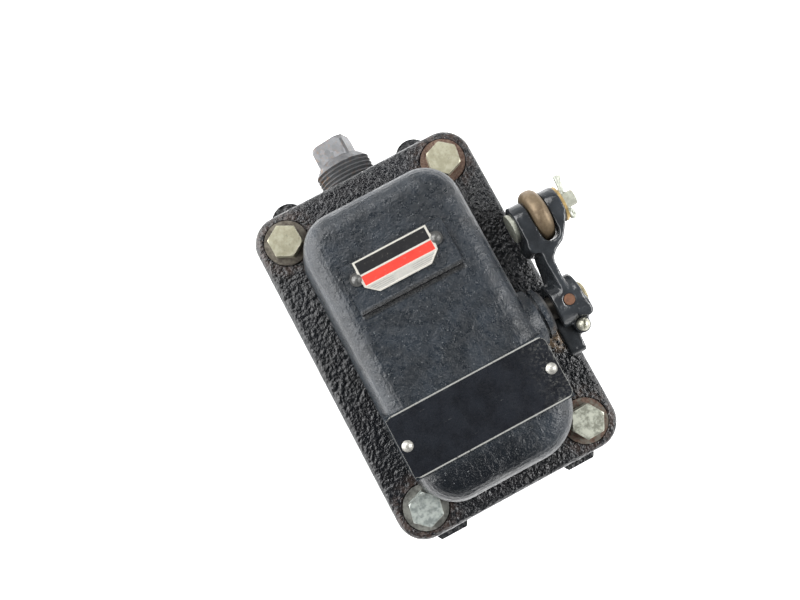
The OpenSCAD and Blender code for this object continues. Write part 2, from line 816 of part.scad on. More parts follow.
module block_screws() {
    color(steel) for (y = [-1, 1])
        translate([0, shaft_y + y * foot_y, block_z + foot_t])
            slotted_screw(screw_r, foot_t + 7, screw_head_r, screw_head_h);
}

// Guide cap over the plunger
module block_cap() {
    color(brass) translate([0, shaft_y, block_top]) difference() {
        linear_extrude(cap_t) round_rect(44, 12, 3);
        translate([0, 0, -1]) cylinder(h = cap_t + 2, r = nose_r + run_fit);
        for (x = [-1, 1]) translate([x * 18, 0, -1]) cylinder(h = cap_t + 2, r = screw_r + 0.2);
    }
}

module cap_screws() {
    color(steel) for (x = [-1, 1])
        translate([x * 18, shaft_y, block_top + cap_t])
            slotted_screw(screw_r, cap_t + 6, screw_head_r, screw_head_h);
}

// Plunger: nose, guide, stem through the bridge and spring seat
module contact_plunger() {
    guide_top = bridge_z + bridge_t + 7.5;
    color([0.85, 0.8, 0.68]) translate([0, shaft_y, 0]) {
        translate([0, 0, nose_top - nose_r]) sphere(nose_r);
        translate([0, 0, guide_top - 0.1])
            cylinder(h = nose_top - nose_r - guide_top + 0.1, r = nose_r);
        translate([0, 0, bridge_z + bridge_t + 0.05])
            cylinder(h = guide_top - bridge_z - bridge_t - 0.05, r = 3.6);
        translate([0, 0, spring_z1]) cylinder(h = guide_top - spring_z1 - 1, r = stem_r);
        translate([0, 0, spring_z1]) cylinder(h = 1.6, d = plunger_d);
    }
}

// Moving contact bridge with a silver tip on each side of both ends
module contact_bridge() {
    color(copper) translate([0, shaft_y, bridge_z]) {
        difference() {
            linear_extrude(bridge_t) round_rect(37, 7, 2);
            translate([0, 0, -1]) cylinder(h = bridge_t + 2, r = stem_r + set_fit);
        }
        for (x = [-1, 1])
            translate([x * 15.5, 0, -tip_h]) cylinder(h = bridge_t + 2 * tip_h, r = tip_r);
    }
}

module bridge_clip() {
    color(steel) translate([0, shaft_y, bridge_z - 0.92]) difference() {
        cylinder(h = 0.9, r = 3.6);
        translate([0, 0, -1]) cylinder(h = 3, r = stem_r + set_fit);
    }
}

// Helical spring, as one tube swept along the coil
module plunger_spring() {
    sides = 8;
    per_turn = 16;
    steps = spring_turns * per_turn;
    z0 = spring_z0 + spring_wire / 2;
    rise = spring_z1 - spring_z0 - spring_wire - 0.1;
    rings = [for (i = [0:steps]) let (a = 360 * i / per_turn, z = z0 + rise * i / steps)
        for (k = [0:sides - 1]) let (b = 360 * k / sides)
            [(spring_r + spring_wire / 2 * cos(b)) * cos(a),
             (spring_r + spring_wire / 2 * cos(b)) * sin(a),
             z + spring_wire / 2 * sin(b)]];
    sides_f = [for (i = [0:steps - 1], k = [0:sides - 1])
        [i * sides + k, (i + 1) * sides + k,
         (i + 1) * sides + (k + 1) % sides, i * sides + (k + 1) % sides]];
    ends_f = [[for (k = [0:sides - 1]) k],
              [for (k = [sides - 1:-1:0]) steps * sides + k]];
    color(steel) translate([0, shaft_y, 0]) polyhedron(rings, concat(sides_f, ends_f));
}

// Fixed contact strap: side -1 is the break pair's terminal, +1 the make pair's
module contact_strap(x, side) {
    pad0 = block_w / 2 + 0.05;
    scale([x, 1, 1]) difference() {
        linear_extrude(strap_t) polygon([
            [13, -strap_half], [pad0, -strap_half], [pad0, side > 0 ? 1 : -13],
            [block_w / 2 + ledge_x - 0.6, side > 0 ? 1 : -13],
            [block_w / 2 + ledge_x - 0.6, side > 0 ? 13 : -1],
            [pad0, side > 0 ? 13 : -1], [pad0, strap_half], [13, strap_half]
        ]);
        translate([terminal_dx, side * terminal_dy, -1]) cylinder(h = 4, r = screw_r + 0.1);
    }
}

module break_contacts() {
    color(copper) translate([0, shaft_y, window_z1 - strap_t]) for (x = [-1, 1]) {
        contact_strap(x, -1);
        translate([x * 15.5, 0, -tip_h]) cylinder(h = tip_h, r = tip_r);
    }
}

module make_contacts() {
    color(copper) translate([0, shaft_y, window_z0]) for (x = [-1, 1]) {
        contact_strap(x, 1);
        translate([x * 15.5, 0, strap_t]) cylinder(h = make_tip_h, r = tip_r);
    }
}

module terminal_screws() {
    color(zinc) translate([0, shaft_y, 0]) for (x = [-1, 1]) {
        translate([x * terminal_dx, -terminal_dy, window_z1])
            slotted_screw(screw_r, strap_t + 8, screw_head_r, screw_head_h);
        translate([x * terminal_dx, terminal_dy, window_z0 + strap_t])
            slotted_screw(screw_r, strap_t + 8, screw_head_r, screw_head_h);
    }
}

module ground_screw() {
    color([0.2, 0.5, 0.25]) translate([30, 36, floor_t + 4])
        slotted_screw(screw_r, 7, screw_head_r, screw_head_h);
}

base_housing();
cover();
cover_bolts();
cover_washers();
conduit_plug();
nameplate();
nameplate_rivets();
lower_plate();
lower_plate_rivets();
operating_shaft();
shaft_bushing();
thrust_washer();
shaft_collar();
collar_screw();
shaft_cam();
cam_pin();
lever_arm();
lever_cross_pin();
clamp_screw();
roller();
roller_pin();
roller_washer();
cotter_pin();
contact_block();
block_screws();
block_cap();
cap_screws();
contact_plunger();
contact_bridge();
bridge_clip();
plunger_spring();
break_contacts();
make_contacts();
terminal_screws();
ground_screw();
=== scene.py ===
import math
import bpy
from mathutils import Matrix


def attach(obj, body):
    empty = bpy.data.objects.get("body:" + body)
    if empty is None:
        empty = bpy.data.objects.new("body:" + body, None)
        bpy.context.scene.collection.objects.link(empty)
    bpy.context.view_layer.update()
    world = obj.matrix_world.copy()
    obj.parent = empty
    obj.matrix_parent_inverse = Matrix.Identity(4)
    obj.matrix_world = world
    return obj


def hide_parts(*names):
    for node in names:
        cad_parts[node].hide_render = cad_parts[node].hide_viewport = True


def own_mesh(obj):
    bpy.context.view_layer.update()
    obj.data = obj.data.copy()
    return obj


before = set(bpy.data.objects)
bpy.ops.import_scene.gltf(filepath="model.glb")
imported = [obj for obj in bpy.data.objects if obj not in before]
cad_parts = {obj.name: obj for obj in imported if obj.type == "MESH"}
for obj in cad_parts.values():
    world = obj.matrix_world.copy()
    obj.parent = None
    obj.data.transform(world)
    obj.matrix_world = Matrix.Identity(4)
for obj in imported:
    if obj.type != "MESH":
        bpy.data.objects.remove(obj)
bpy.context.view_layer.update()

MM = 0.001

# Camera: place in metres; tilt, roll and turn in degrees; lens and sensor in mm
CAMERA_AT = (-0.0198, -0.0087, 0.3902)
CAMERA_TURN = (5.07, 0.17, -28.1)
LENS = 36.45
SENSOR = 36

# Lights: name, place and size in metres, power in watts; all face AIM_AT
LIGHTS = (
    ("left_softbox", (-0.95, 0.5, 0.6), (1.5, 1.2), 32),
    ("top_softbox", (-0.1, 0.8, 0.95), (0.9, 0.4), 8),
    ("right_softbox", (0.75, -0.3, 0.75), (0.7, 0.5), 12),
)
AIM_AT = (0, 0, 0.05)

# The floor glows a little. The sky dims with height, 0 at the horizon and
# 1 overhead, from SKY_LOW at FADE_FROM to SKY_HIGH at FADE_TO.
FLOOR_SIZE = 8
FLOOR_GLOW = 0.8
FLOOR_ROUGH = 0.8
FADE_FROM, FADE_TO = 0.12, 0.42
SKY_LOW, SKY_HIGH = 1.02, 0.2
SKY_COLOR = (0.97, 0.985, 1.0, 1)

# Places in metres that the finishes depend on, as (x, y) unless said
BOLT_AT = (37.3 * MM, 61.9 * MM)  # one cover bolt, mirrored to all four
FLANGE_TOP = 52 * MM  # z
LOW_END = -45 * MM  # y where the dome's glossier lower end begins
PAD_FOOT = (-1.6 * MM, 16.3 * MM)  # middle of the badge pad's lower edge
PAD_Z = (85 * MM, 87 * MM)  # z over which the shading of that edge comes in
SMEAR_AT = (44 * MM, -26 * MM)
PLATE_AT = (-2 * MM, 28.7 * MM)
PLATE_HALF = (15.5 * MM, 7.1 * MM)
CUT_FROM = 3.2 * MM  # below the badge's middle, where its corners are cut
CUT_WAY = (0.647, -0.763)  # square to the cut, outwards
LOWER_AT = (-0.7 * MM, -33.6 * MM)
LOWER_HALF = (33.4 * MM, 12.5 * MM)

# The cast lever: voxel, smoothing passes, size and height of its skin's lumps
LEVER_VOXEL = 0.45 * MM
LEVER_PASSES = 14
SKIN_SIZE = 5.5 * MM
SKIN_HEIGHT = 0.3 * MM
SKIN_MIDDLE = 0.6

# Noise levels between which a soft change happens
CLOUDY = (0.35, 0.65)
WIDE = (0.3, 0.7)

# Colours of wear, stains and painted shade on the enamel
SATIN = ((0.0045, 0.0072, 0.0105), (0.011, 0.016, 0.0225))
# painted shade for the dome's lower end
SHADED_END_BLACK = (0.002, 0.003, 0.0045)
# painted shade along the foot of the badge pad
PAD_FOOT_SHADE = (0.002, 0.0025, 0.003)
PALE_SPECK = (0.2, 0.21, 0.21)
SCRATCH = (0.17, 0.18, 0.18)
BOLT_STAIN = (0.09, 0.058, 0.045)
GREASE = (0.24, 0.17, 0.11)
DUST = (0.13, 0.12, 0.105)
BARE_IRON = (0.2, 0.205, 0.205)


class Finish:
    """One procedural material, built node by node in object space."""

    def __init__(self, name, rough=0.4, metal=0.0):
        self.material = bpy.data.materials.new(name)
        self.material.use_nodes = True
        self.tree = self.material.node_tree
        self.shader = self.tree.nodes["Principled BSDF"]
        self.place = self.tree.nodes.new("ShaderNodeTexCoord").outputs["Object"]
        self.set("Roughness", rough)
        self.set("Metallic", metal)

    def put(self, socket, value):
        if isinstance(value, bpy.types.NodeSocket):
            self.tree.links.new(value, socket)
        elif isinstance(value, tuple) and len(value) == 3 and socket.type == "RGBA":
            socket.default_value = (*value, 1)
        else:
            socket.default_value = value

    def set(self, socket, value):
        self.put(self.shader.inputs[socket], value)

    def add(self, kind, values, **settings):
        node = self.tree.nodes.new(kind)
        for key, value in settings.items():
            setattr(node, key, value)
        for key, value in values.items():
            self.put(node.inputs[key], value)
        return node

    def noise(self, size, detail=3.0, seed=0.0, rough=0.55, place=None):
        values = {"Vector": place or self.place, "Scale": 1 / size, "Detail": detail,
                  "W": seed, "Roughness": rough}
        return self.add("ShaderNodeTexNoise", values, noise_dimensions="4D").outputs[0]

    def cells(self, size):
        values = {"Vector": self.place, "Scale": 1 / size}
        return self.add("ShaderNodeTexVoronoi", values).outputs

    def stretch(self, x, y, z, turn=0.0):
        values = {"Vector": self.place, "Scale": (x, y, z), "Rotation": (0, 0, math.radians(turn))}
        return self.add("ShaderNodeMapping", values).outputs[0]

    def ramp(self, value, low, high, to_low=0.0, to_high=1.0):
        values = {"Value": value, "From Min": low, "From Max": high,
                  "To Min": to_low, "To Max": to_high}
        return self.add("ShaderNodeMapRange", values, interpolation_type="SMOOTHSTEP").outputs[0]

    def fall(self, value, low, high):
        """1 up to low, then down to 0 at high"""
        return self.ramp(value, low, high, 1.0, 0.0)

    def calc(self, operation, a, b=0.0):
        node = self.add("ShaderNodeMath", {0: a, 1: b}, operation=operation)
        return node.outputs[0]

    def times(self, *values):
        total = values[0]
        for value in values[1:]:
            total = self.calc("MULTIPLY", total, value)
        return total

    def plus(self, *values):
        total = values[0]
        for value in values[1:]:
            total = self.calc("ADD", total, value)
        return total

    def mix(self, part, a, b):
        node = self.add("ShaderNodeMix", {}, data_type="RGBA")
        self.put(node.inputs[0], part)
        self.put(node.inputs[6], a)
        self.put(node.inputs[7], b)
        return node.outputs[2]

    def blend(self, part, a, b):
        node = self.add("ShaderNodeMix", {}, data_type="FLOAT")
        for index, value in ((0, part), (2, a), (3, b)):
            self.put(node.inputs[index], value)
        return node.outputs[0]

    def axis(self, index):
        return self.add("ShaderNodeSeparateXYZ", {0: self.place}).outputs[index]

    def away(self, index, middle):
        """Distance from middle along one axis"""
        return self.calc("ABSOLUTE", self.calc("SUBTRACT", self.axis(index), middle[index]))

    def share(self, index, middle, half):
        """Place on a plate along one axis, -1 at one end and 1 at the other"""
        off = self.calc("SUBTRACT", self.axis(index), middle[index])
        return self.times(off, 1 / half[index])

    def edge(self, radius, low=0.03, high=0.25):
        """1 on sharp edges, 0 on flat surfaces"""
        bevel = self.add("ShaderNodeBevel", {"Radius": radius}, samples=4)
        plain = self.add("ShaderNodeNewGeometry", {})
        dot = self.add("ShaderNodeVectorMath", {0: bevel.outputs[0], 1: plain.outputs["Normal"]},
                       operation="DOT_PRODUCT")
        return self.ramp(self.calc("SUBTRACT", 1.0, dot.outputs["Value"]), low, high)

    def relief(self, height):
        """Height is in metres"""
        bump = self.add("ShaderNodeBump", {"Height": height, "Distance": 1.0, "Strength": 1.0})
        self.set("Normal", bump.outputs[0])

    def done(self, color, rough):
        self.set("Base Color", color)
        self.set("Roughness", rough)
        return self.material


def near_bolts(f, inner, outer):
    """1 within inner of a cover bolt's axis, 0 beyond outer"""
    parts = []
    for index in (0, 1):
        gap = f.calc("SUBTRACT", f.calc("ABSOLUTE", f.axis(index)), BOLT_AT[index])
        parts.append(f.calc("POWER", gap, 2.0))
    return f.fall(f.calc("SQRT", f.plus(*parts)), inner, outer)


def cover_marks(f, low, mid, height, color, shine, seed):
    """The satin dome, the cover's own marks and stains, and its painted shade"""
    dome = f.ramp(f.axis(2), FLANGE_TOP + 0.8 * MM, FLANGE_TOP + 3 * MM)
    smooth = f.plus(f.times(f.noise(7 * MM, 3, seed + 10, 0.5), 0.9 * MM),
                    f.times(f.noise(1.8 * MM, 4, seed + 5, 0.65), 0.42 * MM),
                    f.times(f.noise(0.75 * MM, 3, seed + 6, 0.6), 0.2 * MM))
    height = f.blend(dome, height, smooth)
    satin = f.mix(f.ramp(low, *CLOUDY), *SATIN)
    color = f.mix(dome, color, satin)
    shine = f.blend(dome, shine, f.ramp(mid, *WIDE, 0.24, 0.42))
    # Painted shade: the lower end is darker; it is also glossier
    end = f.times(f.ramp(f.axis(1), LOW_END, LOW_END - 6 * MM),
                  f.ramp(f.axis(0), 20 * MM, 2 * MM), dome)
    color = f.mix(f.times(end, 0.75), color, SHADED_END_BLACK)
    shine = f.blend(end, shine, 0.2)
    # Small pale specks, more of them on the dome
    cell = f.cells(1.3 * MM)
    chance = f.add("ShaderNodeSeparateColor", {0: cell["Color"]}).outputs[0]
    picked = f.ramp(chance, 0.8, 0.82)
    speck = f.times(f.fall(cell["Distance"], 0.1, 0.2), picked, f.blend(dome, 0.35, 1.0))
    color = f.mix(f.times(speck, 0.6), color, PALE_SPECK)
    # Fine scratches along two directions
    for turn, salt in ((24, 7), (-58, 8)):
        lane = f.noise(1.0, 2, seed + salt, place=f.stretch(2300, 90, 300, turn))
        gate = f.ramp(f.noise(14 * MM, 2, seed + salt + 3), 0.56, 0.66)
        mark = f.times(f.ramp(lane, 0.7, 0.74), gate, dome)
        color = f.mix(f.times(mark, 0.5), color, SCRATCH)
    # Brown stain round the bolts
    stain = f.times(near_bolts(f, 10.4 * MM, 16.5 * MM), f.ramp(mid, 0.38, 0.62),
                    f.fall(f.axis(2), FLANGE_TOP + 2 * MM, FLANGE_TOP + 10 * MM))
    color = f.mix(f.times(stain, 0.42), color, BOLT_STAIN)
    # The rough foot of the raised pad, with painted shade along it
    shaded_foot = f.times(f.fall(f.away(1, PAD_FOOT), 0.8 * MM, 2.2 * MM),
                   f.fall(f.away(0, PAD_FOOT), 20.5 * MM, 22 * MM),
                   f.ramp(f.axis(2), *PAD_Z))
    color = f.mix(f.times(shaded_foot, 0.95), color, PAD_FOOT_SHADE)
    grit = f.times(f.noise(0.9 * MM, 4, seed + 12, 0.7), shaded_foot, 1.1 * MM)
    height = f.plus(height, grit)
    # Rust and grease below the shaft boss
    off = [f.calc("SUBTRACT", f.axis(index), SMEAR_AT[index]) for index in (0, 1)]
    far = f.calc("SQRT", f.plus(*[f.calc("POWER", value, 2.0) for value in off]))
    smear = f.times(f.fall(far, 3 * MM, 8 * MM), f.ramp(mid, 0.35, 0.55))
    color = f.mix(f.times(smear, 0.75), color, GREASE)
    return height, color, shine


def enamel(name, tone, pebble, grain, rough, wear, dust, domed=False, seed=0.0):
    """Black enamel over a casting: pebble and grain are (size, height) in metres"""
    f = Finish(name)
    low = f.noise(9 * MM, 4, seed + 1)
    mid = f.noise(2.2 * MM, 4, seed + 2)
    lumps = f.noise(pebble[0], 2.5, seed + 3, 0.5)
    pits = f.noise(grain[0], 3, seed + 4, 0.6)
    cell = f.cells(pebble[0] * 1.6)["Distance"]
    coarse = f.plus(f.times(lumps, pebble[1]), f.times(cell, -0.35 * pebble[1]))
    height = f.plus(coarse, f.times(pits, grain[1]))
    dark = tuple(c * 0.7 for c in tone)
    light = tuple(c * 1.45 for c in tone)
    color = f.mix(f.ramp(low, *CLOUDY), dark, light)
    shine = f.blend(f.ramp(mid, *WIDE), rough[0], rough[1])
    if domed:
        height, color, shine = cover_marks(f, low, mid, height, color, shine, seed)
    # Dust that stays in the low places, then edges worn to bare iron
    hollow = f.times(f.fall(lumps, 0.36, 0.5), f.ramp(low, 0.4, 0.7), dust)
    color = f.mix(hollow, color, DUST)
    chips = f.noise(1.6 * MM, 5, seed + 9, 0.7)
    rubbed = f.times(f.edge(1.1 * MM), f.ramp(chips, 0.52, 0.66), wear)
    color = f.mix(rubbed, color, BARE_IRON)
    shine = f.blend(rubbed, shine, 0.5)
    f.relief(height)
    return f.done(color, shine)


def plated(name, tone, stain, rough=(0.34, 0.55), metal=0.75, amount=0.5, fine=0.02 * MM,
           seed=0.0, size=2.2 * MM):
    """Plated or bare metal with cloudy patches, small pits, and rubbed bright edges"""
    f = Finish(name, metal=metal)
    cloud = f.noise(size, 5, seed, 0.65)
    small = f.noise(0.45 * MM, 3, seed + 2, 0.6)
    dark = tuple(c * 0.72 for c in tone)
    color = f.mix(f.ramp(cloud, *CLOUDY), dark, tone)
    patch = f.times(f.ramp(f.noise(size * 1.3, 5, seed + 5, 0.7), 0.5, 0.66), amount)
    color = f.mix(patch, color, stain)
    bright = tuple(min(1.0, c * 1.3) for c in tone)
    rubbed = f.times(f.edge(0.5 * MM), f.ramp(small, 0.4, 0.6), 0.6)
    color = f.mix(rubbed, color, bright)
    shine = f.blend(f.ramp(small, *WIDE), rough[0], rough[1])
    f.relief(f.plus(f.times(small, fine), f.times(cloud, fine)))
    return f.done(color, f.blend(patch, shine, 0.75))


def dark_shaft(name):
    """Steel with painted shade: black in the gap behind the hub, and yellowed at the open end"""
    f = Finish(name, metal=0.6)
    cloud = f.noise(1.6 * MM, 5, 66, 0.65)
    small = f.noise(0.4 * MM, 3, 67, 0.6)
    end = f.ramp(f.axis(0), 50 * MM, 56 * MM)
    # Painted shade: near black where the shaft sits in the gap behind the hub
    gap_shade = f.mix(f.ramp(cloud, *CLOUDY), (0.012, 0.011, 0.01), (0.05, 0.042, 0.032))
    bare = f.mix(f.ramp(cloud, *CLOUDY), (0.2, 0.17, 0.1), (0.36, 0.31, 0.19))
    color = f.mix(end, gap_shade, bare)
    color = f.mix(f.times(f.edge(0.5 * MM), end, 0.6), color, (0.5, 0.45, 0.3))
    f.relief(f.plus(f.times(small, 0.02 * MM), f.times(cloud, 0.03 * MM)))
    return f.done(color, f.ramp(small, *WIDE, 0.36, 0.6))


def bolt_zinc(name):
    """Aged zinc: warmer at the top bolts, cooler and mottled at the bottom ones"""
    f = Finish(name, metal=0.55)
    warm = f.ramp(f.axis(1), -40 * MM, 40 * MM)
    cloud = f.noise(2.4 * MM, 5, 3, 0.65)
    small = f.noise(0.4 * MM, 3, 5, 0.6)
    top = f.mix(f.ramp(cloud, *CLOUDY), (0.3, 0.285, 0.2), (0.41, 0.395, 0.295))
    low = f.mix(f.ramp(cloud, 0.38, 0.62), (0.2, 0.225, 0.215), (0.42, 0.455, 0.425))
    right = f.ramp(f.axis(0), -10 * MM, 20 * MM)
    pale = f.mix(f.ramp(cloud, 0.4, 0.6), (0.26, 0.26, 0.2), (0.6, 0.61, 0.5))
    low = f.mix(f.times(right, 0.75), low, pale)
    color = f.mix(warm, low, top)
    blot = f.ramp(f.noise(1.4 * MM, 4, 8, 0.7), 0.58, 0.68)
    color = f.mix(f.times(blot, 0.45), color, (0.16, 0.15, 0.12))
    rubbed = f.times(f.edge(0.6 * MM), f.ramp(small, 0.4, 0.6), 0.7)
    color = f.mix(rubbed, color, (0.72, 0.70, 0.6))
    f.relief(f.plus(f.times(small, 0.03 * MM), f.times(cloud, 0.06 * MM)))
    return f.done(color, f.blend(f.ramp(small, *WIDE), 0.36, 0.56))


def washer_rust(name):
    """Plated washers: one rusts red, the others go beige and grey"""
    f = Finish(name, metal=0.35)
    x, y = f.axis(0), f.axis(1)
    right = f.ramp(x, -10 * MM, 10 * MM)
    top = f.ramp(y, -10 * MM, 10 * MM)
    cloud = f.noise(2.6 * MM, 5, 12, 0.7)
    small = f.noise(0.6 * MM, 4, 13, 0.65)
    beige = f.mix(f.ramp(cloud, 0.38, 0.62), (0.055, 0.045, 0.035), (0.145, 0.13, 0.105))
    grey = f.mix(f.ramp(cloud, 0.38, 0.62), (0.07, 0.07, 0.062), (0.19, 0.19, 0.172))
    rust = f.mix(f.ramp(small, 0.4, 0.62), (0.07, 0.035, 0.025), (0.17, 0.115, 0.085))
    left = f.mix(top, grey, beige)
    spotted = f.mix(f.ramp(cloud, 0.45, 0.56), rust, beige)
    color = f.mix(right, left, f.mix(top, spotted, rust))
    f.relief(f.plus(f.times(small, 0.06 * MM), f.times(cloud, 0.05 * MM)))
    return f.done(color, f.ramp(small, *WIDE, 0.45, 0.75))


def galvanised(name):
    """Grey zinc crystals, with brown stain towards the thread"""
    f = Finish(name, metal=0.6)
    shade = f.add("ShaderNodeSeparateColor", {0: f.cells(2.2 * MM)["Color"]}).outputs[1]
    cloud = f.noise(3 * MM, 5, 21, 0.65)
    small = f.noise(0.5 * MM, 3, 22, 0.6)
    crystal = f.plus(f.times(shade, 0.5), f.times(cloud, 0.5))
    color = f.mix(crystal, (0.075, 0.077, 0.08), (0.18, 0.184, 0.192))
    thread = f.fall(f.axis(1), 84 * MM, 88 * MM)
    color = f.mix(f.times(thread, 0.62), color, (0.12, 0.125, 0.13))
    side = f.ramp(f.axis(0), -4 * MM, -12 * MM)
    brown = f.times(f.ramp(f.noise(1.8 * MM, 5, 25, 0.7), 0.5, 0.62),
                    f.plus(f.times(side, 0.6), 0.25))
    color = f.mix(brown, color, (0.2, 0.11, 0.055))
    f.relief(f.plus(f.times(small, 0.03 * MM), f.times(cloud, 0.08 * MM)))
    return f.done(color, f.ramp(small, *WIDE, 0.36, 0.58))


def badge(name):
    """Plain colour bands: black, red and bare metal, with bright lines between"""
    f = Finish(name, metal=0.0)
    u = f.share(0, PLATE_AT, PLATE_HALF)
    v = f.share(1, PLATE_AT, PLATE_HALF)
    side = f.calc("ABSOLUTE", u)
    high = f.calc("SUBTRACT", v, 0.18)
    low = f.calc("SUBTRACT", v, -0.45)
    metal = (0.62, 0.6, 0.54)
    red = f.mix(f.noise(3 * MM, 4, 31), (0.46, 0.03, 0.022), (0.6, 0.055, 0.035))
    black = f.mix(f.noise(3 * MM, 4, 32), (0.005, 0.005, 0.006), (0.014, 0.014, 0.015))
    color = f.mix(f.ramp(high, -0.02, 0.02), red, black)
    below = f.ramp(low, 0.02, -0.02)
    color = f.mix(below, color, f.mix(f.noise(1.2 * MM, 4, 33), (0.42, 0.42, 0.4), metal))
    lines = []
    for value in (high, low):
        lines.append(f.fall(f.calc("ABSOLUTE", value), 0.035, 0.06))
    lines.append(f.ramp(side, 0.945, 0.955))
    lines.append(f.ramp(f.calc("ABSOLUTE", v), 0.9, 0.92))
    # The cut lower corners: distance outside the line 0.45 mm within the cut
    across = f.times(f.calc("SUBTRACT", side, 1.0), PLATE_HALF[0] * CUT_WAY[0])
    down = f.times(f.plus(f.times(v, PLATE_HALF[1]), CUT_FROM), CUT_WAY[1])
    lines.append(f.ramp(f.plus(across, down), -0.55 * MM, -0.45 * MM))
    line = lines[0]
    for other in lines[1:]:
        line = f.calc("MAXIMUM", line, other)
    rays = f.ramp(f.calc("SINE", f.times(v, 62.0)), 0.55, 0.85)
    color = f.mix(f.times(rays, below, f.ramp(side, 0.22, 0.3), 0.5), color, (0.08, 0.08, 0.08))
    color = f.mix(line, color, metal)
    ears = f.ramp(side, 1.005, 1.015)
    grey = f.mix(f.noise(0.8 * MM, 3, 38), (0.03, 0.03, 0.03), (0.12, 0.12, 0.115))
    color = f.mix(ears, color, grey)
    bare = f.calc("MAXIMUM", line, below)
    paler_patches = f.times(f.ramp(f.noise(0.9 * MM, 5, 36, 0.7), 0.6, 0.68), 0.55)
    color = f.mix(paler_patches, color, (0.2, 0.19, 0.17))
    f.set("Metallic", f.times(bare, 0.6))
    f.relief(f.plus(f.times(line, 0.05 * MM), f.times(f.noise(0.5 * MM, 3, 37), 0.012 * MM)))
    return f.done(color, f.blend(bare, 0.32, 0.42))


def black_plate(name):
    """Black anodised sheet with bare top and bottom margins, rubbed at the edges"""
    f = Finish(name)
    v = f.share(1, LOWER_AT, LOWER_HALF)
    u = f.share(0, LOWER_AT, LOWER_HALF)
    cloud = f.noise(6 * MM, 5, 41, 0.6)
    small = f.noise(0.5 * MM, 3, 42, 0.6)
    color = f.mix(f.ramp(cloud, *CLOUDY), (0.002, 0.0028, 0.005), (0.006, 0.0075, 0.011))
    # Paler patches, more of them towards the right end
    paler_patches = f.times(f.ramp(u, 0.55, 1.0), f.ramp(f.noise(1.2 * MM, 5, 43, 0.7), 0.5, 0.64), 0.4)
    color = f.mix(paler_patches, color, (0.13, 0.13, 0.12))
    line = f.ramp(f.calc("ABSOLUTE", v), 0.955, 0.965)
    line = f.calc("MAXIMUM", line, f.edge(0.5 * MM, 0.02, 0.12))
    line = f.times(line, f.ramp(f.noise(2.0 * MM, 4, 44), 0.3, 0.4))
    color = f.mix(line, color, (0.5, 0.5, 0.47))
    lane = f.noise(1.0, 2, 45, place=f.stretch(90, 2600, 300, 12))
    mark = f.times(f.ramp(lane, 0.7, 0.75), f.ramp(cloud, 0.48, 0.6), 0.5)
    color = f.mix(mark, color, (0.2, 0.2, 0.19))
    f.set("Metallic", f.times(line, 0.6))
    f.relief(f.plus(f.times(small, 0.008 * MM), f.times(f.noise(11 * MM, 2, 46), 0.7 * MM)))
    return f.done(color, f.ramp(small, *WIDE, 0.24, 0.36))


def moulded(name, tone, rough=(0.35, 0.5), seed=0.0, fleck=0.3):
    """Moulded insulation: flow clouds, flecks, a fine skin"""
    f = Finish(name)
    cloud = f.noise(4 * MM, 5, seed, 0.6)
    small = f.noise(0.35 * MM, 3, seed + 1, 0.6)
    color = f.mix(f.ramp(cloud, *CLOUDY), tuple(c * 0.75 for c in tone), tone)
    flecks = f.times(f.ramp(small, 0.6, 0.7), fleck)
    color = f.mix(flecks, color, tuple(min(1, c * 2.2) for c in tone))
    edge = f.times(f.edge(0.4 * MM), 0.35)
    color = f.mix(edge, color, tuple(min(1, c * 2) for c in tone))
    f.relief(f.times(small, 0.015 * MM))
    return f.done(color, f.blend(f.ramp(cloud, *WIDE), rough[0], rough[1]))


BLACK = (0.0022, 0.0029, 0.0042)
ZINC = (0.56, 0.55, 0.46)
STEEL = (0.4, 0.4, 0.39)
OIL_STAIN = (0.2, 0.15, 0.1)
GREY_STAIN = (0.2, 0.17, 0.12)
BRASS = (0.6, 0.45, 0.18)
BRASS_STAIN = (0.25, 0.17, 0.08)
COPPER = (0.6, 0.28, 0.15)
COPPER_STAIN = (0.2, 0.1, 0.06)
# The enamel's (size, height) of its pebbles and of its grain
PEBBLE = (1.35 * MM, 0.95 * MM)

